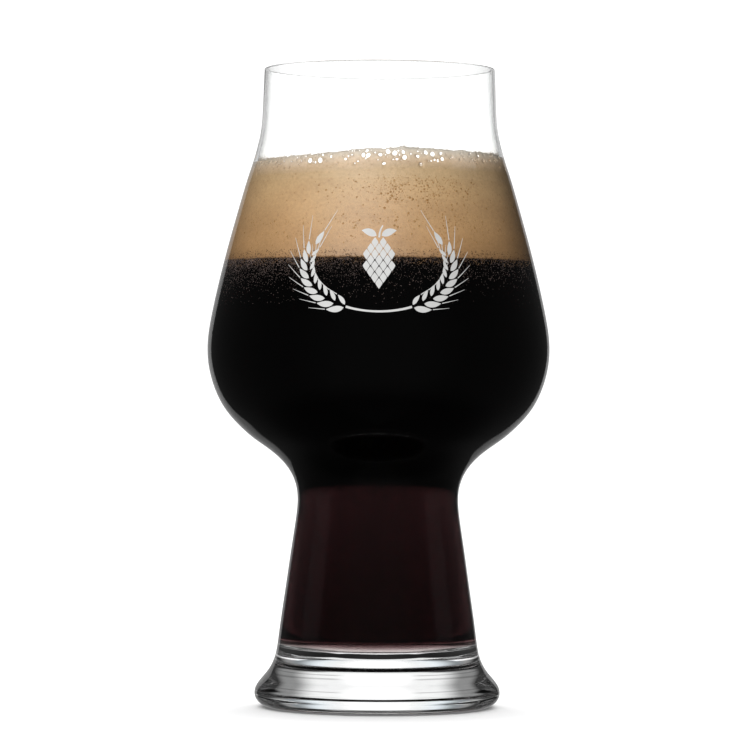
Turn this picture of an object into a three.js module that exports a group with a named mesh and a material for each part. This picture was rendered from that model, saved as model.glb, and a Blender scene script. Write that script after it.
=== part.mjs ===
// A footed stout glass, filled: a tulip bowl with a straight neck, a narrow waist,
// a flared hollow stem and a thick solid foot, all drawn from one gather of clear
// glass. It holds dark stout up to the shoulder of the bowl and a tan head of foam
// on the stout. The headspace above the foam is open.
//
// Millimetres, +Z up. The origin is on the surface the glass stands on, on the axis.
import * as THREE from 'three';

// ---- driving dimensions -------------------------------------------------------
const HEIGHT = 178;            // resting plane to top of rim
const SEGMENTS = 48;           // facets round the axis, the same for all three solids

// resting ring and underside
const RING_INNER_R = 25.6;     // where the shallow hollow of the underside begins
const RING_OUTER_R = 29.5;     // where the rounded edge of the foot begins
const PUNT_DEPTH = 0.5;        // height of the hollow on the axis

// rim: fire-polished, a full round of the wall's thickness
const RIM_WALL = 1.15;
const RIM_MID_R = 31.6;

// floor of the cavity
const FLOOR_Z = 15.7;          // on the axis
const FLOOR_EDGE_Z = 15.95;    // where the corner round begins
const CORNER_R = 3.2;
const CORNER_WALL_R = 25.72;   // cavity radius just above the corner

// contents
const GAP = 0.25;              // clearance kept between the contents and the glass
const STOUT_TOP = 123.9;
const HEAD_BOTTOM = 124.2;
const HEAD_TOP_EDGE = 152.8;
const HEAD_TOP_AXIS = 153.9;

// outside of the glass, [height, radius], from the resting ring to the rim
const OUTSIDE = [
  [0.0, RING_OUTER_R], [0.28, 31.25], [0.95, 32.60], [2.2, 33.75], [4.1, 34.25],
  [6.0, 33.69], [8.0, 32.22], [10.0, 30.57], [12, 29.37], [16, 28.12], [24, 27.01],
  [38, 25.02], [49, 23.39], [54, 22.69], [58, 22.43], [61, 22.72], [64, 23.64],
  [67, 25.42], [70, 28.24], [72.5, 31.47], [75, 34.99], [78, 38.42], [81, 41.25],
  [84, 43.42], [88, 45.42], [92, 46.75], [96, 47.53], [100, 47.76], [104, 47.49],
  [108, 46.87], [114, 45.63], [124, 43.27], [136, 40.03], [148, 36.52], [153, 34.90],
  [157, 33.82], [161, 33.04], [165, 32.67], [171, 32.43],
  [HEIGHT - RIM_WALL / 2, RIM_MID_R + RIM_WALL / 2],
];

// inside of the glass, [height, radius], from the cavity's corner to the rim
const INSIDE = [
  [FLOOR_EDGE_Z + CORNER_R, CORNER_WALL_R], [24, 25.31], [38, 23.48], [49, 21.84],
  [54, 21.11], [58, 20.83], [61, 21.06], [64, 21.87], [67, 23.37], [70, 25.85],
  [72.5, 28.65], [75, 32.07], [78, 35.97], [81, 39.05], [84, 41.49], [88, 43.72],
  [92, 45.16], [96, 46.03], [100, 46.31], [104, 46.07], [109, 45.30], [116, 43.82],
  [124, 41.92], [136, 38.71], [148, 35.23], [153, 33.65], [157, 32.60], [161, 31.87],
  [165, 31.52], [171, 31.27], [HEIGHT - RIM_WALL / 2, RIM_MID_R - RIM_WALL / 2],
];

// ---- helpers ------------------------------------------------------------------
const point = (r, z) => new THREE.Vector2(r, z);

// points on an arc about (cr, cz), angles in degrees, both ends left out on request
function arc(cr, cz, radius, from, to, steps, skipEnds) {
  const out = [];
  for (let i = skipEnds ? 1 : 0; i <= steps - (skipEnds ? 1 : 0); i += 1) {
    const a = THREE.MathUtils.degToRad(from + ((to - from) * i) / steps);
    out.push(point(cr + radius * Math.cos(a), cz + radius * Math.sin(a)));
  }
  return out;
}

// radius of a [height, radius] table at a height
function radiusAt(table, z) {
  for (let i = 1; i < table.length; i += 1) {
    const [z0, r0] = table[i - 1];
    const [z1, r1] = table[i];
    if (z <= z1) return r0 + ((r1 - r0) * (z - z0)) / (z1 - z0);
  }
  return table[table.length - 1][1];
}

// a profile that begins and ends on the axis, turned about it; +Z is up
function turned(name, profile, material) {
  const geometry = new THREE.LatheGeometry(profile, SEGMENTS);
  geometry.rotateX(Math.PI / 2);
  const mesh = new THREE.Mesh(geometry, material);
  mesh.name = name;
  return mesh;
}

// the cavity wall drawn in by the clearance, square to the wall, between two heights
function clearedWall(from, to) {
  const out = [];
  const steps = INSIDE.map(([z]) => z).filter((z) => z > from + 0.8 && z < to - 0.8);
  for (const z of [from, ...steps, to]) {
    const slope = (radiusAt(INSIDE, z + 0.5) - radiusAt(INSIDE, z - 0.5)) / 1.0;
    out.push(point(radiusAt(INSIDE, z) - GAP * Math.hypot(1, slope), z));
  }
  return out;
}

// ---- the glass ----------------------------------------------------------------
const underside = [0, 0.3, 0.55, 0.78].map((f) =>
  point(f * RING_INNER_R, PUNT_DEPTH * (1 - f * f)));

const glassProfile = [
  ...underside,
  point(RING_INNER_R, 0),
  ...OUTSIDE.map(([z, r]) => point(r, z)),
  ...arc(RIM_MID_R, HEIGHT - RIM_WALL / 2, RIM_WALL / 2, 0, 180, 4, true),
  ...INSIDE.slice().reverse().map(([z, r]) => point(r, z)),
  ...arc(CORNER_WALL_R - CORNER_R, FLOOR_EDGE_Z + CORNER_R, CORNER_R, 0, -90, 4, true),
  point(CORNER_WALL_R - CORNER_R, FLOOR_EDGE_Z),
  point(0, FLOOR_Z),
];

const glassBody = turned('glass_body', glassProfile, new THREE.MeshStandardMaterial({
  color: 0xf1f5f4, roughness: 0.04, metalness: 0.0, transparent: true, opacity: 0.35,
}));

// ---- the stout ----------------------------------------------------------------
const stoutCornerR = CORNER_R - GAP;
const stoutProfile = [
  point(0, FLOOR_Z + GAP),
  point(CORNER_WALL_R - CORNER_R, FLOOR_EDGE_Z + GAP),
  ...arc(CORNER_WALL_R - CORNER_R, FLOOR_EDGE_Z + CORNER_R, stoutCornerR, -90, 0, 4, true),
  ...clearedWall(FLOOR_EDGE_Z + CORNER_R, STOUT_TOP),
  point(0, STOUT_TOP),
];

const stout = turned('stout', stoutProfile, new THREE.MeshStandardMaterial({
  color: 0x120806, roughness: 0.05, metalness: 0.0,
}));

// ---- the head of foam ---------------------------------------------------------
const headProfile = [
  point(0, HEAD_BOTTOM),
  ...clearedWall(HEAD_BOTTOM, HEAD_TOP_EDGE),
  point(0.72 * radiusAt(INSIDE, HEAD_TOP_EDGE), 0.5 * (HEAD_TOP_EDGE + HEAD_TOP_AXIS) + 0.2),
  point(0, HEAD_TOP_AXIS),
];

const foamHead = turned('foam_head', headProfile, new THREE.MeshStandardMaterial({
  color: 0xcda67c, roughness: 0.85, metalness: 0.0,
}));

// ---- the filled glass ---------------------------------------------------------
const stoutGlass = new THREE.Group();
stoutGlass.add(glassBody, stout, foamHead);

export default stoutGlass;
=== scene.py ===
"""Looks of a filled stout glass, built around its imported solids: a clear tulip glass on a thick
foot, near-black stout, a tan head of foam with a ragged collar of bubbles, and a white enamel
ornament of barley ears on the front of the bowl. Metres, +Z up, the viewer stands at -Y."""
import math
import random

import bpy
import numpy as np
from mathutils import Matrix, Vector, noise
from mathutils.geometry import delaunay_2d_cdt

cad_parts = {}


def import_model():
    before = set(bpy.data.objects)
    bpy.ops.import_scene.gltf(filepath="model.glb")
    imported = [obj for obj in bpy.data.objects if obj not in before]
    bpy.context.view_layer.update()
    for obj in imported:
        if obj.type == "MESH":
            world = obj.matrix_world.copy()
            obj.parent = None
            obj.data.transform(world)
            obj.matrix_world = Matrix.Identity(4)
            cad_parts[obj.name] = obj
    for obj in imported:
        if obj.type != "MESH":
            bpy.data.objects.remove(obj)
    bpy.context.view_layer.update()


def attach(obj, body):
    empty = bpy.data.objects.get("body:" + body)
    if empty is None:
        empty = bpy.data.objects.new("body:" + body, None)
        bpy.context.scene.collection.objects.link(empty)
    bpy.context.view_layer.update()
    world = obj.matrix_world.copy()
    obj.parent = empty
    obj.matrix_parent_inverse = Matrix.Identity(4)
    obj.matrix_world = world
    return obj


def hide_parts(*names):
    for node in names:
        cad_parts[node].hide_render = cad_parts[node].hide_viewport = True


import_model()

MM = 0.001
scene = bpy.context.scene

# ------------------------------------------------------------------------------------------
# profile of the glass, millimetres: (height, radius)
# ------------------------------------------------------------------------------------------
HEIGHT = 178.0
RING_IN, RING_OUT, PUNT = 25.6, 29.5, 0.5
RIM_WALL, RIM_R = 0.80, 31.775
FLOOR_Z, FLOOR_EDGE_Z, CORNER_R, CORNER_WALL_R = 15.7, 15.95, 3.2, 25.72
OUTSIDE = [
    (0, 29.5), (0.28, 31.25), (0.95, 32.6), (2.2, 33.75), (4.1, 34.25), (6, 33.69), (8, 32.22),
    (10, 30.57), (12, 29.37), (14, 28.595), (16, 28.12), (20, 27.54), (26, 26.748), (34, 25.586),
    (42, 24.445), (49, 23.393), (54, 22.692), (58, 22.431), (61, 22.72), (64, 23.64), (67, 25.42),
    (70, 28.24), (72.5, 31.47), (75, 34.99), (78, 38.42), (81, 41.25), (84, 43.42), (88, 45.42),
    (92, 46.75), (96, 47.535), (100, 47.765), (104, 47.495), (108, 46.865), (112, 46.065),
    (118, 44.725), (124, 43.27), (130, 41.7), (136, 40.035), (142, 38.325), (148, 36.52), (152, 35.205),
    (156, 34.07), (160, 33.195), (164, 32.74), (168, 32.535), (172, 32.39), (177.425, 32.175),
]
INSIDE = [
    (22, 25.522), (26, 25.088), (32, 24.32), (38, 23.478), (44, 22.63), (49, 21.843), (53, 21.24),
    (57, 20.849), (60, 20.936), (63, 21.529), (66, 22.784), (69, 24.875), (71.5, 27.376), (74, 30.671),
    (77, 34.817), (80, 38.104), (83, 40.774), (87, 43.258), (91, 44.861), (95, 45.863), (99, 46.292),
    (103, 46.179), (107, 45.652), (111, 44.903), (117, 43.59), (123, 42.164), (129, 40.626),
    (135, 38.991), (141, 37.311), (147, 35.541), (151, 34.281), (155, 33.239), (159, 32.418),
    (163, 31.967), (167, 31.764), (171, 31.625), (177.425, 31.375),
]
STOUT_TOP = 123.9          # where the stout meets the head
HEAD_LOW = 123.95
HEAD_EDGE, HEAD_RISE = 147.6, 2.6      # top of the dense foam at the wall, and its crown
GAP = 0.16                 # clear film between the wall and the contents
WET_TOP, HELD_TOP = 59.6, 145.6        # the stem is wet below the first, the bowl is held full up to the second


# how far the top of the foam lies above or below an even ring: degrees round from the front, mm
FOAM_LINE = [(-180, 0.0), (-110, -0.5), (-71, -0.85), (-41, -1.2), (-27.6, -0.9), (-15.8, -0.27), (-4.4, 0.25),
             (6.7, 0.3), (18, 0.2), (30, 0.0), (44, -0.45), (75, -0.45), (110, -0.3), (180, 0.0)]


def collar_top(phi):
    """Height of the ragged top of the foam on the wall, phi round from the front towards +X."""
    s, c = math.sin(phi), math.cos(phi)
    lump = 0.34 * noise.noise(Vector((s * 5, c * 5, 1.7))) + 0.34 * noise.noise(Vector((s * 14, c * 14, 7.1)))
    fray = 0.20 * noise.noise(Vector((s * 38, c * 38, 2.2))) + 0.12 * noise.noise(Vector((s * 90, c * 90, 4.2)))
    line = float(np.interp(math.degrees(math.atan2(s, c)), *zip(*FOAM_LINE)))
    return 153.6 + 0.72 * s - 0.5 * (1 - c) + line + lump + fray


def natural(points, count, bend=6.0):
    """A natural cubic spline through points, given back as count points that crowd where it bends."""
    p = np.array(points, float)
    s = np.r_[0.0, np.cumsum(np.hypot(*np.diff(p, axis=0).T))]
    n, h = len(s), np.diff(s)
    a = np.eye(n)
    b = np.zeros_like(p)
    for i in range(1, n - 1):
        a[i, i - 1:i + 2] = h[i - 1], 2 * (h[i - 1] + h[i]), h[i]
        b[i] = 6 * ((p[i + 1] - p[i]) / h[i] - (p[i] - p[i - 1]) / h[i - 1])
    m = np.linalg.solve(a, b)

    def at(t):
        i = np.clip(np.searchsorted(s, t) - 1, 0, n - 2)
        u, v = (s[i + 1] - t)[:, None], (t - s[i])[:, None]
        hh = h[i][:, None]
        return (m[i] * u**3 + m[i + 1] * v**3) / (6 * hh) + (p[i] / hh - m[i] * hh / 6) * u + (p[i + 1] / hh - m[i + 1] * hh / 6) * v

    t = np.linspace(0, s[-1], 4000)
    q = at(t)
    d1, d2 = np.gradient(q, t, axis=0), np.gradient(np.gradient(q, t, axis=0), t, axis=0)
    k = np.abs(d1[:, 0] * d2[:, 1] - d1[:, 1] * d2[:, 0])
    w = np.r_[0.0, np.cumsum(1 + bend * np.minimum((k[1:] + k[:-1]) / 2, 0.35))]
    return at(np.interp(np.linspace(0, w[-1], count), w, t))


def corner(shrink, steps=10):
    """The cavity's floor and corner, as (z, r), from the axis outwards."""
    out = [(FLOOR_Z + shrink + (FLOOR_EDGE_Z - FLOOR_Z) * (f * f), f * (CORNER_WALL_R - CORNER_R)) for f in np.linspace(0, 1, 9)]
    for a in np.radians(np.linspace(-90, 6, steps))[1:]:
        out.append((FLOOR_EDGE_Z + CORNER_R + (CORNER_R - shrink) * math.sin(a), CORNER_WALL_R - CORNER_R + (CORNER_R - shrink) * math.cos(a)))
    return out


OUT_CURVE = natural(OUTSIDE, 158)
IN_CURVE = natural(corner(0.0) + INSIDE, 250)


def radius(curve, z):
    return float(np.interp(z, curve[:, 0], curve[:, 1]))


def r_out(z):
    return radius(OUT_CURVE, z)


def r_in(z):
    k = IN_CURVE[:, 0] > 19.3
    return radius(IN_CURVE[k], z)


def slope_in(z):
    return (r_in(z + 0.4) - r_in(z - 0.4)) / 0.8


def inset(z, gap):
    """Cavity radius at z drawn in square to the wall."""
    return r_in(z) - gap * math.hypot(1, slope_in(z))


# ------------------------------------------------------------------------------------------
# mesh helpers
# ------------------------------------------------------------------------------------------
def mesh_object(name, verts, faces, smooth=True):
    me = bpy.data.meshes.new(name)
    me.from_pydata(verts, [], faces)
    me.update()
    if smooth:
        me.polygons.foreach_set("use_smooth", [True] * len(me.polygons))
    ob = bpy.data.objects.new(name, me)
    scene.collection.objects.link(ob)
    return ob


def turned(profile, segments, wobble=None):
    """Vertices and faces of a closed profile of (r, z) in mm that starts and ends on the axis."""
    verts, rings = [], []
    for j, (r, z) in enumerate(profile):
        if r < 1e-6:
            rings.append([len(verts)])
            verts.append((0.0, 0.0, z * MM))
            continue
        ring = []
        for i in range(segments):
            a = 2 * math.pi * i / segments
            rr, zz = (r, z) if wobble is None else wobble(j, r, z, a)
            ring.append(len(verts))
            verts.append((rr * math.cos(a) * MM, rr * math.sin(a) * MM, zz * MM))
        rings.append(ring)
    faces, row = [], []
    for j in range(len(rings) - 1):
        lo, hi = rings[j], rings[j + 1]
        if len(lo) == 1 and len(hi) == 1:
            continue
        for i in range(segments):
            k = (i + 1) % segments
            if len(lo) == 1:
                faces.append((lo[0], hi[k], hi[i]))
            elif len(hi) == 1:
                faces.append((lo[i], lo[k], hi[0]))
            else:
                faces.append((lo[i], lo[k], hi[k], hi[i]))
            row.append(j)
    return verts, faces, row


def at(r, phi, z):
    """Point in metres at radius r and height z, phi round from the front (-Y) towards +X."""
    return (r * math.sin(phi) * MM, -r * math.cos(phi) * MM, z * MM)


class Bag:
    """Many small closed shapes gathered into one mesh."""

    def __init__(self):
        self.verts, self.faces = [], []

    def put(self, verts, faces):
        k = len(self.verts)
        self.verts += [tuple(v) for v in verts]
        self.faces += [tuple(i + k for i in f) for f in faces]

    def dome(self, point, normal, radius_m, height_m, segments=9, rows=3, turn=0.0):
        """A closed bubble cap standing on point along normal."""
        p, n = Vector(point), Vector(normal).normalized()
        t = n.orthogonal().normalized()
        b = n.cross(t)
        verts, faces = [], []
        for i in range(rows):
            e = math.pi / 2 * i / rows
            for k in range(segments):
                w = 2 * math.pi * k / segments + turn
                verts.append(p + (t * math.cos(w) + b * math.sin(w)) * (radius_m * math.cos(e)) + n * (height_m * math.sin(e)))
        verts.append(p + n * height_m)
        for k in range(segments):
            q = (k + 1) % segments
            for i in range(rows - 1):
                faces.append((i * segments + k, i * segments + q, (i + 1) * segments + q, (i + 1) * segments + k))
            faces.append(((rows - 1) * segments + k, (rows - 1) * segments + q, rows * segments))
        faces.append(tuple(range(segments - 1, -1, -1)))
        self.put(verts, faces)

    def speck(self, point, size, rng):
        """A tiny faceted bubble, a little out of round."""
        x, y, z = point
        a, b, c = (size * rng.uniform(0.75, 1.25) for _ in range(3))
        self.put([(x + a, y, z), (x, y + b, z), (x - a, y, z), (x, y - b, z), (x, y, z + c), (x, y, z - c)],
                 [(0, 1, 4), (1, 2, 4), (2, 3, 4), (3, 0, 4), (1, 0, 5), (2, 1, 5), (3, 2, 5), (0, 3, 5)])

    def piece(self, name, material, node, slot, smooth=True):
        ob = mesh_object(name, self.verts, self.faces, smooth)
        return own(ob, material, node)


def own(ob, material, node):
    ob.data.materials.append(material)
    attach(ob, "root")
    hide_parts(node)
    return ob


# ------------------------------------------------------------------------------------------
# materials
# ------------------------------------------------------------------------------------------
def node_material(name):
    m = bpy.data.materials.new(name)
    m.use_nodes = True
    nt = m.node_tree
    nt.nodes.clear()
    out = nt.nodes.new("ShaderNodeOutputMaterial")
    bsdf = nt.nodes.new("ShaderNodeBsdfPrincipled")
    nt.links.new(bsdf.outputs["BSDF"], out.inputs["Surface"])
    return m, nt, bsdf, out


def add(nt, kind, **values):
    n = nt.nodes.new(kind)
    for k, v in values.items():
        setattr(n, k, v)
    return n


def set_in(node, **values):
    for k, v in values.items():
        node.inputs[k.replace("_", " ")].default_value = v


def ramp(nt, fac, stops):
    n = nt.nodes.new("ShaderNodeValToRGB")
    e = n.color_ramp.elements
    while len(e) > len(stops):
        e.remove(e[-1])
    while len(e) < len(stops):
        e.new(1.0)
    for el, (pos, col) in zip(e, stops):
        el.position = pos
        el.color = col if len(col) == 4 else (*col, 1.0)
    nt.links.new(fac, n.inputs["Fac"])
    return n


def coords(nt, scale=(1, 1, 1)):
    tc = nt.nodes.new("ShaderNodeTexCoord")
    mp = nt.nodes.new("ShaderNodeMapping")
    mp.inputs["Scale"].default_value = scale
    nt.links.new(tc.outputs["Object"], mp.inputs["Vector"])
    return mp.outputs["Vector"]


def noise_tex(nt, vec, scale, detail=3.0, rough=0.55):
    n = nt.nodes.new("ShaderNodeTexNoise")
    n.inputs["Scale"].default_value = scale
    n.inputs["Detail"].default_value = detail
    n.inputs["Roughness"].default_value = rough
    nt.links.new(vec, n.inputs["Vector"])
    return n.outputs["Fac"]


def glass_material(name, ior, clear=1.0):
    m, nt, b, out = node_material(name)
    v = coords(nt, (1, 1, 0.35))
    # a clear below 1.0 greys the whole glass; only the lip takes it, as painted shade
    tint = ramp(nt, noise_tex(nt, v, 60.0, 2.0), [(0.3, (0.975 * clear, 0.985 * clear, 0.982 * clear)), (0.7, (clear, clear, clear))])
    nt.links.new(tint.outputs["Color"], b.inputs["Base Color"])
    set_in(b, Roughness=0.0, IOR=ior, Transmission_Weight=1.0)
    return m


def stout_material():
    m, nt, b, out = node_material("stout_liquid")
    v = coords(nt, (1, 1, 0.4))
    tint = ramp(nt, noise_tex(nt, v, 90.0, 2.0), [(0.3, (0.97, 0.93, 0.90)), (0.7, (1.0, 0.97, 0.95))])
    nt.links.new(tint.outputs["Color"], b.inputs["Base Color"])
    set_in(b, Roughness=0.0, IOR=1.0, Transmission_Weight=1.0)
    va = add(nt, "ShaderNodeVolumeAbsorption")
    va.inputs["Color"].default_value = (0.24, 0.03, 0.05, 1)
    va.inputs["Density"].default_value = 152.0
    nt.links.new(va.outputs["Volume"], out.inputs["Volume"])
    return m


def mixed(nt, kind, fac, a, b):
    n = add(nt, "ShaderNodeMix", data_type="RGBA", blend_type=kind)
    if isinstance(fac, (int, float)):
        n.inputs["Factor"].default_value = fac
    else:
        nt.links.new(fac, n.inputs["Factor"])
    nt.links.new(a, n.inputs["A"])
    nt.links.new(b, n.inputs["B"])
    return n.outputs["Result"]


def height(nt, low, high, lean=0.0):
    """0 at height low, 1 at height high, in metres, both lower by lean on the left."""
    tc = add(nt, "ShaderNodeTexCoord")
    sep = add(nt, "ShaderNodeSeparateXYZ")
    nt.links.new(tc.outputs["Object"], sep.inputs[0])
    left = add(nt, "ShaderNodeMapRange")
    nt.links.new(sep.outputs["X"], left.inputs["Value"])
    set_in(left, From_Min=-0.022, From_Max=0.002, To_Min=lean, To_Max=0.0)
    level = add(nt, "ShaderNodeMath", operation="ADD")
    nt.links.new(sep.outputs["Z"], level.inputs[0])
    nt.links.new(left.outputs["Result"], level.inputs[1])
    up = add(nt, "ShaderNodeMapRange")
    nt.links.new(level.outputs["Value"], up.inputs["Value"])
    set_in(up, From_Min=low, From_Max=high)
    return up.outputs["Result"]


def bubble_cells(nt, vec, scale, small, big):
    """0 in the middle of fine bubbles, 1 between them."""
    n = add(nt, "ShaderNodeTexVoronoi", feature="F1")
    nt.links.new(vec, n.inputs["Vector"])
    n.inputs["Scale"].default_value = scale
    m = add(nt, "ShaderNodeMapRange")
    nt.links.new(n.outputs["Distance"], m.inputs["Value"])
    set_in(m, From_Min=small, From_Max=big)
    return m.outputs["Result"]


def foam_grain(nt, colour):
    """Fine bubbles and broad mottling laid over a colour."""
    v = coords(nt, (1, 1, 2.2))
    wide = ramp(nt, noise_tex(nt, v, 70.0, 3.0, 0.55), [(0.30, (0.90, 0.88, 0.86)), (0.70, (1.04, 1.04, 1.04))])
    fine = ramp(nt, noise_tex(nt, coords(nt, (1, 1, 1.3)), 1100.0, 3.0, 0.65), [(0.30, (0.88, 0.86, 0.83)), (0.72, (1.06, 1.05, 1.04))])
    c = mixed(nt, "MULTIPLY", 1.0, colour, wide.outputs["Color"])
    c = mixed(nt, "MULTIPLY", 1.0, c, fine.outputs["Color"])
    pin = ramp(nt, bubble_cells(nt, coords(nt), 620.0, 0.08, 0.30), [(0.0, (0.88, 0.84, 0.80)), (1.0, (1.0, 1.0, 1.0))])
    return mixed(nt, "MULTIPLY", 1.0, c, pin.outputs["Color"])


def foam_colour(nt):
    # tan that darkens towards the stout: partly the head's own browner foam low down, partly painted shade for the
    # light lost near the stout
    tan_and_shade_by_height = ramp(nt, height(nt, 0.124, 0.152), [
        (0.0, (0.36, 0.203, 0.084)), (0.06, (0.44, 0.260, 0.111)), (0.19, (0.485, 0.296, 0.132)),
        (0.54, (0.538, 0.356, 0.179)), (0.79, (0.595, 0.420, 0.226)), (1.0, (0.615, 0.452, 0.262))])
    return foam_grain(nt, tan_and_shade_by_height.outputs["Color"])


def bumped(nt, bsdf, source, strength, distance):
    n = add(nt, "ShaderNodeBump")
    set_in(n, Strength=strength, Distance=distance)
    nt.links.new(source, n.inputs["Height"])
    nt.links.new(n.outputs["Normal"], bsdf.inputs["Normal"])


def foam_material():
    m, nt, b, out = node_material("beer_foam")
    nt.links.new(foam_colour(nt), b.inputs["Base Color"])
    set_in(b, Roughness=0.58, Specular_IOR_Level=0.85)
    bumped(nt, b, noise_tex(nt, coords(nt), 900.0, 3.0, 0.6), 0.25, 0.0003)
    return m


def collar_material():
    """Thin foam on the wall: light comes through it, and it thins out greyish at the top."""
    m, nt, b, out = node_material("beer_foam_collar")
    up = height(nt, 0.1480, 0.1538, 0.0011)
    thin = ramp(nt, up, [(0.0, (0.605, 0.435, 0.242)), (0.40, (0.65, 0.520, 0.370)), (0.75, (0.63, 0.570, 0.485)), (1.0, (0.56, 0.54, 0.50))])
    c = foam_grain(nt, thin.outputs["Color"])
    nt.links.new(c, b.inputs["Base Color"])
    set_in(b, Roughness=0.58, Specular_IOR_Level=0.85)
    bumped(nt, b, noise_tex(nt, coords(nt), 900.0, 3.0, 0.6), 0.25, 0.0003)
    tr = add(nt, "ShaderNodeBsdfTranslucent")
    nt.links.new(c, tr.inputs["Color"])
    mix = add(nt, "ShaderNodeMixShader")
    thinner = add(nt, "ShaderNodeMapRange")
    nt.links.new(up, thinner.inputs["Value"])
    set_in(thinner, From_Min=0.1, From_Max=1.0, To_Min=0.0, To_Max=0.45)
    nt.links.new(thinner.outputs["Result"], mix.inputs["Fac"])
    nt.links.new(b.outputs["BSDF"], mix.inputs[1])
    nt.links.new(tr.outputs["BSDF"], mix.inputs[2])
    nt.links.new(mix.outputs["Shader"], out.inputs["Surface"])
    return m


def bubble_material():
    m, nt, b, out = node_material("beer_foam_bubbles")
    c = ramp(nt, noise_tex(nt, coords(nt), 420.0, 2.0), [(0.3, (0.50, 0.34, 0.19)), (0.7, (0.66, 0.50, 0.33))])
    nt.links.new(c.outputs["Color"], b.inputs["Base Color"])
    set_in(b, Roughness=0.16, Specular_IOR_Level=0.5)
    bumped(nt, b, noise_tex(nt, coords(nt), 2500.0, 2.0), 0.1, 0.0001)
    return m


def pit_material():
    m, nt, b, out = node_material("beer_foam_pits_painted_shade")
    # dark brown: painted shade standing in for the hollow of each bubble
    c = ramp(nt, noise_tex(nt, coords(nt), 260.0, 2.0), [(0.3, (0.31, 0.175, 0.062)), (0.7, (0.46, 0.295, 0.135))])
    nt.links.new(c.outputs["Color"], b.inputs["Base Color"])
    set_in(b, Roughness=0.4, Specular_IOR_Level=0.1)
    return m


def cascade_material():
    m, nt, b, out = node_material("stout_cascade")
    c = ramp(nt, noise_tex(nt, coords(nt), 700.0, 2.0), [(0.3, (0.13, 0.098, 0.088)), (0.7, (0.28, 0.215, 0.195))])
    nt.links.new(c.outputs["Color"], b.inputs["Base Color"])
    set_in(b, Roughness=0.5, Specular_IOR_Level=0.1)
    return m


def dregs_material():
    m, nt, b, out = node_material("stout_dregs")
    c = ramp(nt, noise_tex(nt, coords(nt), 500.0, 2.0), [(0.3, (0.020, 0.012, 0.009)), (0.7, (0.10, 0.058, 0.034))])
    nt.links.new(c.outputs["Color"], b.inputs["Base Color"])
    set_in(b, Roughness=0.5, Specular_IOR_Level=0.1)
    return m


def enamel_material():
    m, nt, b, out = node_material("enamel_print")
    c = ramp(nt, noise_tex(nt, coords(nt), 380.0, 3.0), [(0.3, (0.655, 0.655, 0.642)), (0.7, (0.705, 0.705, 0.695))])
    nt.links.new(c.outputs["Color"], b.inputs["Base Color"])
    set_in(b, Roughness=0.55, Specular_IOR_Level=0.15)
    bumped(nt, b, noise_tex(nt, coords(nt), 1500.0, 2.0), 0.08, 0.0001)
    return m


# ------------------------------------------------------------------------------------------
# the glass
# ------------------------------------------------------------------------------------------
def glass_profile():
    """Closed profile of the glass, and for each of its points whether it is on the inner wall."""
    pts, inner = [], []
    for f in np.linspace(0, 1, 22)[:-1]:
        f = f**0.85
        pts.append((f * (RING_IN - 0.3), PUNT * (1 - f * f) * 0.985 + 0.03))
    pts += [(RING_IN - 0.05, 0.02), (RING_IN + 0.4, 0.0), (27.5, 0.0), (29.0, 0.0)]
    pts += [(r, max(z, 0.0)) for z, r in OUT_CURVE]
    for a in np.radians(np.linspace(0, 180, 24))[1:-1]:
        c, h = math.cos(a), math.sin(a)**0.7
        pts.append((RIM_R + RIM_WALL / 2 * math.copysign(abs(c)**0.7, c), HEIGHT - RIM_WALL / 2 * (1 - h)))
    inner = [False] * len(pts) + [True] * len(IN_CURVE)
    pts += [(max(r, 0.0), z) for z, r in IN_CURVE[::-1]]
    pts[0] = (0.0, pts[0][1])
    pts[-1] = (0.0, pts[-1][1])
    return pts, inner


def glass_wobble(j, r, z, a):
    """Slight waviness of hot-worked glass, kept off the resting ring."""
    if z < 0.4 and r > 25.0:
        return r, z
    x, y = math.cos(a), math.sin(a)
    w = noise.noise(Vector((x * 2.2, y * 2.2, z * 0.045 + (9.0 if j > IN_START else 0.0))))
    return r + w * (0.035 if j > IN_START else 0.02), z


prof, inner = glass_profile()
IN_START = len(prof) - len(IN_CURVE) - 1
verts, faces, row = turned(prof, 216, glass_wobble)
glass = mesh_object("glass", verts, faces)
own(glass, glass_material("clear_glass", 1.52), "glass_body")
# optical step from the glass to what stands behind its inner wall: the stout in the stem, contents
# that fill the bowl to its outline, and air in the neck, each passing gently into the next
STEPS = (1.0, 1.02, 1.04, 1.06, 1.08, 1.10, 1.13, 1.18, 1.24, 1.32, 1.42)
for n in STEPS:
    glass.data.materials.append(glass_material("clear_glass_n%03d" % round(100 * n), n))
# the lip's own glass, greyed to 0.46: painted shade for the dark line along the rim
glass.data.materials.append(glass_material("glass_lip_painted_shade", 1.52, 0.46))


def held_to(phi):
    """Height up to which the bowl's wall is held full: higher at the two sides than in front."""
    t = min(max((0.70 - abs(math.cos(phi))) / 0.25, 0.0), 1.0)
    return HELD_TOP + (collar_top(phi) - 4.0 - HELD_TOP) * t * t * (3 - 2 * t)


zone = []
for j, poly in zip(row, glass.data.polygons):
    x, y, z = poly.center / MM
    # the top 0.42 mm of the rim takes the greyed lip glass: painted shade
    if z > HEIGHT - 0.42:
        zone.append(1 + len(STEPS))
    elif not inner[j]:
        zone.append(0)
    elif z < 100.0:
        zone.append(1 + (6 if z < WET_TOP else max(0, 5 - int((z - WET_TOP) / 1.6))))
    else:
        k = int((z - held_to(math.atan2(x, -y))) / 0.7 + 1.0)
        zone.append(1 if k <= 0 else 1 + (4, 6, 7, 8, 9, 10)[k - 1] if k < 6 else 0)
glass.data.polygons.foreach_set("material_index", zone)

# ------------------------------------------------------------------------------------------
# the stout, drawn in a little under the head, where fine bubbles hang between it and the wall
# ------------------------------------------------------------------------------------------
def stout_gap(z):
    t = min(max((z - 107.0) / 5.0, 0.0), 1.0)
    return GAP + 0.36 * t * t * (3 - 2 * t)


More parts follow.
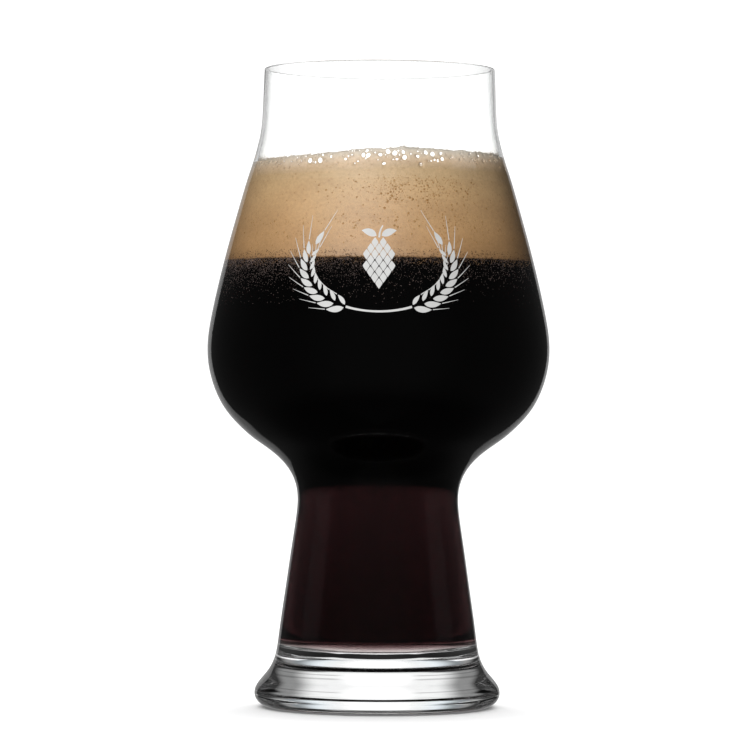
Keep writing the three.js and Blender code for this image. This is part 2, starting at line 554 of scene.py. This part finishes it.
zs = [z for z in IN_CURVE[:, 0] if 19.5 < z < STOUT_TOP - 0.4][::2] + [STOUT_TOP]
sp = [(r, z) for z, r in corner(GAP, 12)] + [(inset(z, stout_gap(z)), z) for z in zs]
sp += [(f * inset(STOUT_TOP, stout_gap(STOUT_TOP)), STOUT_TOP) for f in (0.98, 0.8, 0.5, 0.25)] + [(0.0, STOUT_TOP)]
sp[0] = (0.0, sp[0][1])
verts, faces, row = turned(sp, 224)
stout = own(mesh_object("stout_fill", verts, faces), stout_material(), "stout")


def cascade_bubbles():
    rng = random.Random(41)
    bag = Bag()
    while len(bag.faces) < 8 * 18000:
        phi = rng.uniform(-math.pi, math.pi)
        deep = rng.expovariate(1 / 2.7)
        if deep > 13.0:
            continue
        z = STOUT_TOP + 0.2 - deep
        clump = noise.noise(Vector((math.sin(phi) * 9, math.cos(phi) * 9, z * 0.30)))
        side = 0.62 - 0.38 * math.sin(phi + 0.35)
        if rng.random() > side * (0.72 + 0.75 * clump):
            continue
        size = rng.uniform(0.05, 0.12) * MM
        bag.speck(at(inset(z, rng.uniform(0.16, 0.34)), phi, z), size, rng)
    return bag.piece("cascade", cascade_material(), "stout", "stout_liquid")


def fringe(name, seed, count, low, high, sizes, material, node, slot):
    """Grains that break up the line between head and stout, thickest at low and thinning to high."""
    rng = random.Random(seed)
    bag = Bag()
    for _ in range(count):
        phi = rng.uniform(-math.pi, math.pi)
        z = low + (high - low) * rng.random()**2.2
        bag.speck(at(inset(z, 0.10), phi, z), rng.uniform(*sizes) * MM, rng)
    return bag.piece(name, material, node, slot)


cascade = cascade_bubbles()


# ------------------------------------------------------------------------------------------
# the head of foam
# ------------------------------------------------------------------------------------------
def lumps(x, y, scale, seed):
    return noise.noise(Vector((x * scale, y * scale, seed))) + 0.5 * noise.noise(Vector((x * scale * 2.3, y * scale * 2.3, seed + 4.0)))


def head_top(r, a):
    x, y = r * math.cos(a), r * math.sin(a)
    return HEAD_EDGE + HEAD_RISE * (1 - (r / 35.0)**2) + 0.26 * lumps(x, y, 0.16, 3.0)


def foam_wobble(j, r, z, a):
    if j < FOAM_SIDE:
        x, y = math.cos(a), math.sin(a)
        frayed = 0.42 * noise.noise(Vector((x * 34, y * 34, 2.0))) + 0.34 * noise.noise(Vector((x * 90, y * 90, 5.0)))
        return r, z + frayed * math.exp(-(z - HEAD_LOW) / 0.7) * (r > 40.0)
    return r, head_top(r, a)


side_z = np.r_[HEAD_LOW, HEAD_LOW + 0.35, HEAD_LOW + 0.8, np.linspace(HEAD_LOW + 1.4, HEAD_EDGE, 56)]
fp = [(0.0, HEAD_LOW)] + [(f * inset(HEAD_LOW, GAP), HEAD_LOW) for f in (0.3, 0.6, 0.9)]
fp += [(inset(z, GAP), z) for z in side_z]
FOAM_SIDE = len(fp)
edge_r = inset(HEAD_EDGE, GAP)
fp += [(f * edge_r, HEAD_EDGE) for f in np.linspace(0.995, 0.02, 60)] + [(0.0, head_top(0.0, 0.0))]
verts, faces, row = turned(fp, 600, foam_wobble)
foam = own(mesh_object("foam", verts, faces), foam_material(), "foam_head")


def collar_low(phi):
    s, c = math.sin(phi), math.cos(phi)
    return 143.2 + 0.35 * noise.noise(Vector((s * 12, c * 12, 11.0)))


# open bubbles seen at the front of the collar: degrees round from the front, height, diameter in mm
OPEN_BUBBLES = [
    (-32.9, 150.5, 1.35), (-27.6, 150.5, 1.45), (-29.9, 150.0, 0.66), (-31.2, 150.1, 0.42), (-50.5, 150.0, 0.5),
    (-48.6, 150.6, 0.52), (-54.5, 149.8, 0.35), (-43.6, 150.4, 0.42), (-37.6, 150.5, 0.42), (-22.4, 151.5, 0.70),
    (-20.8, 152.1, 0.66), (-21.7, 151.4, 0.42), (-24.9, 152.3, 0.42), (-7.3, 151.8, 1.10), (-5.1, 151.7, 1.22),
    (-5.7, 153.0, 0.80), (-6.2, 150.9, 0.50), (0.4, 151.9, 0.95), (3.9, 152.8, 1.25), (7.0, 152.4, 1.35),
    (10.9, 152.7, 0.95), (11.4, 151.2, 1.22), (7.9, 150.7, 0.68), (9.3, 150.6, 0.80), (6.2, 150.6, 0.40),
    (2.0, 149.4, 0.95), (17.6, 151.6, 0.85), (21.6, 152.7, 1.12), (24.9, 152.3, 1.30), (29.3, 152.6, 0.86),
    (29.6, 151.0, 1.08), (25.6, 150.7, 0.66), (27.2, 150.5, 0.80), (23.8, 150.4, 0.52), (18.8, 149.3, 0.92),
    (35.0, 151.6, 0.40), (39.5, 150.9, 0.36), (14.4, 152.2, 0.45), (-12.5, 151.9, 0.42), (-1.9, 152.5, 0.45),
]


def foam_collar():
    """A thin, ragged shell of foam that clings to the wall above the head, with open bubbles in it."""
    rng = random.Random(7)
    unroll = 34.4
    n = 420
    us = np.linspace(-math.pi, math.pi, n + 1)
    tops = np.array([collar_top(p) for p in us])
    lows = np.array([collar_low(p) for p in us])
    holes = [(math.radians(d), z, w / 2) for d, z, w in OPEN_BUBBLES]

    def fits(phi, z, r):
        if not (np.interp(phi, us, lows) + r + 0.35 < z < np.interp(phi, us, tops) - r - 0.22) or abs(phi) > math.pi - 0.05:
            return False
        return all(math.hypot((phi - p) * unroll, z - q) > r + s + 0.14 for p, q, s in kept)

    kept = []
    for phi, z, r in holes:
        if fits(phi, z, r):
            kept.append((phi, z, r))
    tries = 0
    while len(kept) < 330 and tries < 6000:
        tries += 1
        phi = rng.uniform(-math.pi, math.pi)
        r = 0.09 + 0.16 * rng.random()**2 + (0.28 * rng.random() if rng.random() < 0.10 else 0.0)
        z = float(np.interp(phi, us, tops)) - 0.3 - abs(rng.gauss(0, 1.5))
        if fits(phi, z, r):
            kept.append((phi, z, r))

    pts, edges = [], []

    def loop(ring, closed=True):
        k = len(pts)
        pts.extend(ring)
        edges.extend((k + i, k + i + 1) for i in range(len(ring) - 1))
        if closed:
            edges.append((k + len(ring) - 1, k))

    seam = [(0.25 * i) for i in range(1, 4)]
    ring = [(u * unroll, z) for u, z in zip(us, lows)]
    ring += [(math.pi * unroll, lows[-1] + f * (tops[-1] - lows[-1])) for f in seam]
    ring += [(u * unroll, z) for u, z in zip(us[::-1], tops[::-1])]
    ring += [(-math.pi * unroll, tops[0] + f * (lows[0] - tops[0])) for f in seam]
    loop(ring)
    polygons = []
    for phi, z, r in kept:
        m = 14 if r > 0.3 else 9
        wide, turn = rng.uniform(0.85, 1.1), rng.uniform(0, math.pi)
        poly = []
        for i in range(m):
            w = 2 * math.pi * i / m
            x, y = r * wide * math.cos(w) * rng.uniform(0.94, 1.06), r / wide * math.sin(w)
            poly.append((phi * unroll + x * math.cos(turn) - y * math.sin(turn), z + x * math.sin(turn) + y * math.cos(turn)))
        polygons.append(poly)
        loop(poly)
    centres = np.array([(p * unroll, z) for p, z, r in kept])
    sizes = np.array([r for p, z, r in kept])
    for u in np.arange(-math.pi * unroll + 0.5, math.pi * unroll - 0.5, 0.8):
        for z in np.arange(142.7, 154.8, 0.75):
            x, y = u + rng.uniform(-0.15, 0.15), z + rng.uniform(-0.15, 0.15)
            if not np.interp(x / unroll, us, lows) + 0.3 < y < np.interp(x / unroll, us, tops) - 0.3:
                continue
            if (np.hypot(*(centres - (x, y)).T) > sizes * 1.15 + 0.16).all():
                pts.append((x, y))
    out = delaunay_2d_cdt([Vector(p) for p in pts], edges, [], 0, 1e-7)
    flat, tris = [(v.x, v.y) for v in out[0]], out[2]

    def inside(poly, x, y):
        hit = False
        for (x0, y0), (x1, y1) in zip(poly, poly[1:] + poly[:1]):
            if (y0 > y) != (y1 > y) and x < (x1 - x0) * (y - y0) / (y1 - y0) + x0:
                hit = not hit
        return hit

    keep = []
    for t in tris:
        x, y = (sum(flat[i][k] for i in t) / 3 for k in (0, 1))
        if not np.interp(x / unroll, us, lows) < y < np.interp(x / unroll, us, tops):
            continue
        near = np.where(np.hypot(*(centres - (x, y)).T) < sizes * 1.3 + 0.02)[0]
        if any(inside(polygons[i], x, y) for i in near):
            continue
        (x0, y0), (x1, y1), (x2, y2) = (flat[i] for i in t)
        keep.append(tuple(t) if (x1 - x0) * (y2 - y0) - (x2 - x0) * (y1 - y0) > 0 else (t[0], t[2], t[1]))
    # the seam at the back is welded
    place, index, verts = {}, {}, []
    for t in keep:
        for i in t:
            if i in index:
                continue
            x, y = flat[i]
            phi = x / unroll
            key = (round(math.cos(phi), 5), round(math.sin(phi), 5), round(y, 4))
            if key not in place:
                place[key] = len(verts)
                verts.append((phi, y))
            index[i] = place[key]
    keep = [tuple(index[i] for i in t) for t in keep]
    keep = [t for t in keep if len(set(t)) == 3]
    m = len(verts)
    final = []
    for deep in (0, 1):
        for phi, z in verts:
            up = min(max((z - 148.0) / 5.5, 0.0), 1.0)
            s, c = math.sin(phi), math.cos(phi)
            uneven = 0.55 * noise.noise(Vector((s * 16, c * 16, 3.0))) + 0.40 * noise.noise(Vector((s * 50, c * 50, 8.0)))
            sink = min(max((148.2 + uneven - z) / 4.2, 0.0), 1.0)
            final.append(at(inset(z, 0.06 + 0.16 * sink + deep * (0.34 - 0.20 * up)), phi, z))
    faces = keep + [(c + m, b + m, a + m) for a, b, c in keep]
    seen = {}
    for a, b, c in keep:
        for e in ((a, b), (b, c), (c, a)):
            seen[e] = 1
    for a, b in seen:
        if (b, a) not in seen:
            faces.append((a, a + m, b + m, b))
    return own(mesh_object("foam_collar", final, faces), collar_material(), "foam_head")


collar = foam_collar()


def collar_froth():
    """Tiny bubbles along the top of the collar, thinning upwards."""
    rng = random.Random(29)
    bag = Bag()
    for _ in range(7500):
        phi = rng.uniform(-math.pi, math.pi)
        z = collar_top(phi) - 0.15 + min(rng.expovariate(1 / 0.30), 1.3)
        bag.speck(at(inset(z, rng.uniform(0.12, 0.24)), phi, z), rng.uniform(0.04, 0.095) * MM, rng)
    return bag.piece("collar_froth", collar_material(), "foam_head", "beer_foam")


froth = collar_froth()


def crown_bubbles():
    """Bubbles of all sizes that stand on top of the head."""
    rng = random.Random(23)
    bag, kept = Bag(), []
    for k in range(5200):
        if len(kept) >= 1500:
            break
        r, a = 33.6 * math.sqrt(rng.random()), rng.uniform(0, 2 * math.pi)
        size = 0.24 + 0.30 * rng.random() + (0.75 * rng.random()**2 if rng.random() < 0.22 else 0.0)
        x, y = r * math.cos(a), r * math.sin(a)
        if r + size > 34.0 or any(abs(x - u) < size + w and math.hypot(x - u, y - v) < 0.82 * (size + w) for u, v, w in kept):
            continue
        kept.append((x, y, size))
        tilt = Vector((rng.uniform(-0.2, 0.2), rng.uniform(-0.2, 0.2), 1.0))
        bag.dome((x * MM, y * MM, (head_top(r, a) - 0.12 * size) * MM), tilt, size * MM, size * rng.uniform(0.42, 0.62) * MM,
                 segments=12 if size > 0.6 else 8, rows=4 if size > 0.6 else 3, turn=rng.uniform(0, 1))
    return bag.piece("foam_crown", bubble_material(), "foam_head", "beer_foam")


crown = crown_bubbles()


def side_pits():
    """Larger bubbles in the side of the head, drawn as low domes coloured darker than the fine foam round them: painted
    shade in the hollow of each bubble.
    """
    rng = random.Random(5)
    bag, kept = Bag(), []
    while len(kept) < 2400:
        phi, z = rng.uniform(-math.pi, math.pi), rng.uniform(125.5, 148.2)
        d = math.degrees(phi)
        dense = 0.024 if abs(d) < 70 else 0.08
        dense += 1.5 * math.exp(-((d - 15) / 19)**2 - ((z - 142.4) / 3.4)**2)
        dense += 0.6 * math.exp(-((d - 24) / 22)**2 - ((z - 133.0) / 4.0)**2)
        if -62 < d < -8:
            dense += 0.5 * math.exp(-((z - 133.6) / 1.1)**2) + 0.22 * math.exp(-((z - 130.0) / 2.0)**2)
        dense *= 0.6 + 1.3 * max(0.0, noise.noise(Vector((math.sin(phi) * 6, math.cos(phi) * 6, z * 0.16))) + 0.2)
        if rng.random() > dense:
            continue
        size = 0.06 + 0.11 * rng.random() + 0.24 * rng.random()**7
        if size > 0.2 and any(s > 0.2 and math.hypot((phi - p) * 38, z - w) < size + s for p, w, s in kept):
            continue
        kept.append((phi, z, size))
        n = (math.sin(phi), -math.cos(phi), 0.25)
        bag.dome(at(inset(z, GAP + 0.015), phi, z), n, size * MM, 0.045 * MM + 0.1 * size * MM, segments=9, rows=2, turn=rng.uniform(0, 1))
    return bag.piece("foam_pits", pit_material(), "foam_head", "beer_foam")


pits = side_pits()
dark_fringe = fringe("stout_fringe", 61, 3600, 123.7, 126.2, (0.07, 0.16), dregs_material(), "stout", "stout_liquid")
pale_fringe = fringe("foam_fringe", 62, 2600, 124.1, 121.9, (0.06, 0.14), foam_material(), "foam_head", "beer_foam")


# ------------------------------------------------------------------------------------------
# the enamel ornament on the front of the bowl: two barley ears round a hop cone
# ------------------------------------------------------------------------------------------
def ornament():
    bag = Bag()
    mid_z, wrap = 122.0, 44.6

    def stroke(points, widths):
        """A flat closed ribbon of paint along points (across, up) in mm, laid on the glass."""
        m = len(points)
        left, right = [], []
        for i, (u, v) in enumerate(points):
            a, b = points[max(i - 1, 0)], points[min(i + 1, m - 1)]
            du, dv = b[0] - a[0], b[1] - a[1]
            k = widths[i] / 2 / math.hypot(du, dv)
            left.append((u - dv * k, v + du * k))
            right.append((u + dv * k, v - du * k))
        flat = left + right
        verts = []
        for lift in (0.085, 0.012):
            for u, v in flat:
                verts.append(at(r_out(mid_z + v) + lift, u / wrap, mid_z + v))
        n = 2 * m
        faces = []
        for i in range(m - 1):
            q = (i, m + i, m + i + 1, i + 1)
            faces.append(q)
            faces.append(tuple(k + n for k in q[::-1]))
        ring = list(range(m, 2 * m)) + list(range(m - 1, -1, -1))
        for a, b in zip(ring, ring[1:] + ring[:1]):
            faces.append((a, a + n, b + n, b))
        bag.put(verts, faces)

    def grain(u, v, angle, length, width, bend=0.0):
        pts, ws = [], []
        x, y = u, v
        steps = 9
        for i in range(steps):
            t = i / (steps - 1)
            pts.append((x, y))
            ws.append(max(width * math.sin(math.pi * t**0.82)**0.85, 0.05))
            a = angle + bend * t
            x, y = x + math.cos(a) * length / (steps - 1), y + math.sin(a) * length / (steps - 1)
        stroke(pts, ws)
        return pts[-1]

    def line(points, w0, w1):
        stroke(points, [w0 + (w1 - w0) * i / (len(points) - 1) for i in range(len(points))])

    def spine(t, flip):
        a = math.radians(-106 + 138 * t)
        return (flip * 20.0 * math.cos(a), 13.2 * math.sin(a) + 0.5)

    for flip in (1, -1):
        line([spine(t, flip) for t in np.linspace(0.0 if flip > 0 else 0.17, 0.30, 12)], 0.5, 0.62)
        for k in range(9):
            t = 0.31 + 0.066 * k
            (u0, v0), (u1, v1) = spine(t - 0.01, flip), spine(t + 0.01, flip)
            along = math.atan2(v1 - v0, u1 - u0)
            u, v = spine(t, flip)
            grow = 1.0 - 0.025 * k
            for s in (1, -1):
                inner = s == flip
                a = along + s * math.radians(44 if inner else 33)
                off = 0.42
                tip = grain(u + off * math.cos(along + s * math.pi / 2), v + off * math.sin(along + s * math.pi / 2), a, (3.3 if inner else 4.7) * grow, (1.12 if inner else 1.72) * grow, -s * math.radians(20))
                b = along + s * math.radians(13)
                reach = 4.6 + 0.25 * k
                line([(tip[0] + math.cos(b) * (0.35 + reach * f), tip[1] + math.sin(b) * (0.35 + reach * f)) for f in np.linspace(0, 1, 6)], 0.24, 0.07)
        u, v = spine(0.93, flip)
        (u0, v0), (u1, v1) = spine(0.92, flip), spine(0.94, flip)
        along = math.atan2(v1 - v0, u1 - u0)
        tip = grain(u, v, along, 4.2, 1.6)
        line([(tip[0] + math.cos(along) * (0.3 + 6.5 * f), tip[1] + math.sin(along) * (0.3 + 6.5 * f)) for f in np.linspace(0, 1, 6)], 0.24, 0.07)
    # hop cone
    for k, count in enumerate((2, 3, 4, 3, 4, 3, 2, 1)):
        v = 5.9 - 1.58 * k
        for i in range(count):
            u = (i - (count - 1) / 2) * 2.32
            ts = np.linspace(0, 1, 9)
            stroke([(u, v + 1.42 - 2.84 * t) for t in ts], [max(2.06 * min(t / 0.46, (1 - t) / 0.54)**0.88, 0.06) for t in ts])
    line([(0.0, 7.3), (0.15, 8.5), (0.5, 9.6), (1.1, 10.6)], 0.55, 0.35)
    for flip in (1, -1):
        grain(flip * 0.75, 7.75, math.radians(90 - flip * 58), 4.6, 2.0, flip * math.radians(-30))
    return bag.piece("enamel_ears", enamel_material(), "glass_body", "enamel_print", smooth=False)


enamel = ornament()

# ------------------------------------------------------------------------------------------
# stage, light and camera
# ------------------------------------------------------------------------------------------
def stage_floor():
    verts, faces = [(0, 0, 0)], []
    n = 96
    for r in (0.12, 0.5, 3.0):
        for i in range(n):
            a = 2 * math.pi * i / n
            verts.append((r * math.cos(a), r * math.sin(a), 0.0))
    for i in range(n):
        k = (i + 1) % n
        faces.append((0, 1 + i, 1 + k))
        for g in range(2):
            faces.append((1 + g * n + i, 1 + (g + 1) * n + i, 1 + (g + 1) * n + k, 1 + g * n + k))
    floor = mesh_object("floor", [(x, y, z - 0.00005) for x, y, z in verts], faces)
    m, nt, b, out = node_material("pale_floor")
    c = ramp(nt, noise_tex(nt, coords(nt), 3.0, 2.0), [(0.3, (0.80, 0.80, 0.80)), (0.7, (0.83, 0.83, 0.83))])
    nt.links.new(c.outputs["Color"], b.inputs["Base Color"])
    set_in(b, Roughness=0.9, Specular_IOR_Level=0.0, Emission_Strength=0.155)
    b.inputs["Emission Color"].default_value = (1, 1, 1, 1)
    floor.data.materials.append(m)
    floor.visible_glossy = floor.visible_transmission = floor.visible_diffuse = False
    return floor


floor = stage_floor()


def area(name, loc, target, size, power, receivers=None, blockers=None, gloss=False):
    ld = bpy.data.lights.new(name, "AREA")
    ld.shape = "RECTANGLE"
    ld.size, ld.size_y = size
    ld.energy = power
    ob = bpy.data.objects.new(name, ld)
    ob.location = loc
    ob.rotation_mode = "QUATERNION"
    ob.rotation_quaternion = (Vector(target) - Vector(loc)).to_track_quat("-Z", "Y")
    scene.collection.objects.link(ob)
    ob.visible_camera = ob.visible_transmission = False
    ob.visible_glossy = gloss
    for key, objs in (("receiver_collection", receivers), ("blocker_collection", blockers)):
        if objs is not None:
            col = bpy.data.collections.new(name + "_" + key)
            for o in objs:
                col.objects.link(o)
            setattr(ob.light_linking, key, col)
    return ob


lit = [foam, collar, froth, crown, pits, cascade, dark_fringe, pale_fringe, enamel]
area("front_light", (-0.44, -1.77, 0.80), (0, 0, 0.125), (0.9, 0.9), 39.0, receivers=lit, blockers=[foam], gloss=True)
area("back_light", (0.0, 1.6, 0.5), (0, 0, 0.15), (1.2, 1.0), 40.0, receivers=lit[:-1], blockers=[foam])


def sun(name, strength, angle, receivers):
    ld = bpy.data.lights.new(name, "SUN")
    ld.energy = strength
    ld.angle = math.radians(angle)
    ob = bpy.data.objects.new(name, ld)
    ob.rotation_euler = (math.radians(-28), 0, 0)
    scene.collection.objects.link(ob)
    ob.visible_camera = ob.visible_glossy = ob.visible_transmission = False
    col = bpy.data.collections.new(name + "_receivers")
    for o in receivers:
        col.objects.link(o)
    ob.light_linking.receiver_collection = col
    return ob


sun("table_light", 5.75, 100, [floor])


FILL = 0.045


def world():
    w = bpy.data.worlds.new("studio")
    scene.world = w
    w.use_nodes = True
    nt = w.node_tree
    nt.nodes.clear()
    out = nt.nodes.new("ShaderNodeOutputWorld")
    bg = nt.nodes.new("ShaderNodeBackground")
    nt.links.new(bg.outputs[0], out.inputs["Surface"])
    tc = nt.nodes.new("ShaderNodeTexCoord")
    sep = nt.nodes.new("ShaderNodeSeparateXYZ")
    nt.links.new(tc.outputs["Generated"], sep.inputs[0])

    def math_node(op, a, b=None, clamp=False):
        n = nt.nodes.new("ShaderNodeMath")
        n.operation = op
        n.use_clamp = clamp
        for i, x in enumerate((a, b)):
            if x is None:
                continue
            if isinstance(x, (int, float)):
                n.inputs[i].default_value = x
            else:
                nt.links.new(x, n.inputs[i])
        return n.outputs[0]

    def step(value, a, b, lo, hi):
        """lo before a, hi after b, smooth between."""
        n = nt.nodes.new("ShaderNodeMapRange")
        n.interpolation_type = "SMOOTHSTEP"
        nt.links.new(value, n.inputs["Value"])
        n.inputs["From Min"].default_value, n.inputs["From Max"].default_value = a, b
        n.inputs["To Min"].default_value, n.inputs["To Max"].default_value = lo, hi
        return n.outputs["Result"]

    X, Y, Z = sep.outputs
    az = math_node("ARCTAN2", X, Y)                       # 0 along +Y, positive to +X
    off = math_node("ABSOLUTE", az)
    el = math_node("ARCSINE", Z)
    rad = math.radians

    def band(value, lo, hi, soft):
        """1 from lo to hi degrees, falling to 0 over soft degrees outside."""
        return math_node("MULTIPLY", step(value, rad(lo - soft), rad(lo), 0.0, 1.0), step(value, rad(hi), rad(hi + soft), 1.0, 0.0))

    def both(a, b):
        return math_node("MULTIPLY", a, b)

    def most(*items):
        out = items[0]
        for x in items[1:]:
            out = math_node("MAXIMUM", out, x)
        return out

    lp = nt.nodes.new("ShaderNodeLightPath")
    walls = lp.outputs["Transmission Depth"]
    # what mirrors in the glass: a white sweep behind it, a faint ceiling, dark all round
    sweep = both(band(az, -25, 19.5, 2.5), band(el, -22, 42, 5))
    level = step(el, rad(-20), rad(-3), 0.25, 0.42)
    dark = both(step(off, rad(110), rad(165), 0.036, 0.056), step(el, rad(-58), rad(-30), 0.42, 1.0))
    mirror = most(both(sweep, level), dark, step(el, rad(62), rad(75), 0.0, 0.30))
    # what shows through the glass: the sweep and its floor, and strips behind for the other sides
    fade = both(both(step(off, rad(6), rad(14), 1.0, 0.84), step(off, rad(20), rad(34), 1.0, 0.30)), step(off, rad(40), rad(54), 1.0, 0.0))
    fade = most(fade, both(math_node("GREATER_THAN", walls, 5.5), step(off, rad(34), rad(62), 0.55, 0.0)))
    back = both(both(fade, band(el, -64, 45, 6)), step(el, rad(14), rad(32), 1.0, 0.10))
    sides = both(band(off, 74, 106, 4), band(el, -32, 32, 4))
    three_quarter = both(both(band(off, 40, 78, 6), band(el, -60, -14, 5)), step(walls, 2.4, 2.6, 0.45, 1.0))
    mouth = both(band(off, 36, 54, 2), band(el, -32, -18, 2))
    rear = both(most(band(off, 105, 165, 6), step(off, rad(169), rad(173), 0.0, 1.0)), band(el, -50, -7, 3))
    through = most(back, sides, three_quarter, mouth, rear, step(el, rad(55), rad(75), 0.02, 0.10))

    def pick(flag, yes, no):
        n = nt.nodes.new("ShaderNodeMix")
        n.data_type = "FLOAT"
        nt.links.new(flag, n.inputs["Factor"])
        for s, x in (("A", no), ("B", yes)):
            if isinstance(x, (int, float)):
                n.inputs[s].default_value = x
            else:
                nt.links.new(x, n.inputs[s])
        return n.outputs["Result"]

    # a refracted ray counts as glossy as well, so the transmission test comes second; light
    # that falls on the foam through the glass is the same from all sides
    strength = pick(lp.outputs["Is Glossy Ray"], mirror, FILL)
    bounced = math_node("GREATER_THAN", lp.outputs["Glossy Depth"], 0.5)
    neck = both(math_node("GREATER_THAN", walls, 3.5), math_node("LESS_THAN", walls, 4.5))
    clear = math_node("MULTIPLY", through, math_node("ADD", 1.2, math_node("MULTIPLY", neck, 0.85)))
    near_floor = both(step(off, rad(122), rad(134), 0.0, 1.0), band(el, -58, -36, 4))
    level_view = both(step(off, rad(10), rad(14.5), 0.0, 0.4), step(math_node("ABSOLUTE", math_node("SUBTRACT", el, rad(4.1))), rad(1.6), rad(3.0), 1.0, 0.0))
    level_view = math_node("SUBTRACT", 1.2, level_view)
    thrown_up = both(step(off, rad(16), rad(30), 1.0, 0.0), band(el, 14, 66, 6))
    beside = both(both(band(off, 77, 103, 3), band(el, -10, 56, 4)), 0.85)
    inward = most(both(both(back, level_view), step(el, rad(-20), rad(-12), 0.0, 1.0)), thrown_up, beside, near_floor, dark)
    seen = pick(bounced, inward, clear)
    strength = pick(lp.outputs["Is Transmission Ray"], seen, strength)
    strength = pick(math_node("GREATER_THAN", lp.outputs["Diffuse Depth"], 0.5), FILL, strength)
    strength = pick(lp.outputs["Is Camera Ray"], 1.2, strength)
    cool = nt.nodes.new("ShaderNodeMix")
    cool.data_type = "RGBA"
    solid = both(both(lp.outputs["Is Transmission Ray"], math_node("LESS_THAN", lp.outputs["Glossy Depth"], 0.5)), step(walls, 2.4, 2.6, 1.0, 0.0))
    nt.links.new(both(solid, both(step(off, rad(10), rad(26), 0.0, 1.0), step(off, rad(34), rad(40), 1.0, 0.0))), cool.inputs["Factor"])
    cool.inputs["A"].default_value = (1, 1, 1, 1)
    cool.inputs["B"].default_value = (0.88, 0.95, 1.0, 1)
    nt.links.new(cool.outputs["Result"], bg.inputs["Color"])
    nt.links.new(strength, bg.inputs["Strength"])


world()

cam_data = bpy.data.cameras.new("camera")
cam = bpy.data.objects.new("camera", cam_data)
scene.collection.objects.link(cam)
cam_data.sensor_width = 36.0
cam_data.lens = 190.46
cam_data.clip_start, cam_data.clip_end = 0.05, 50.0
cam.location = (-0.00095, -1.1088, 0.0853)
cam.rotation_mode = "XYZ"
look = Matrix.Rotation(math.radians(90.3754), 4, "X") @ Matrix.Rotation(math.radians(0.25), 4, "Z")
cam.rotation_euler = look.to_euler("XYZ")
scene.camera = cam

scene.view_settings.view_transform = "Standard"
scene.view_settings.look = "None"
scene.cycles.max_bounces = 28
scene.cycles.transmission_bounces = 26
scene.cycles.glossy_bounces = 12
scene.cycles.diffuse_bounces = 4
scene.cycles.transparent_max_bounces = 16
scene.cycles.sample_clamp_indirect = 6.0
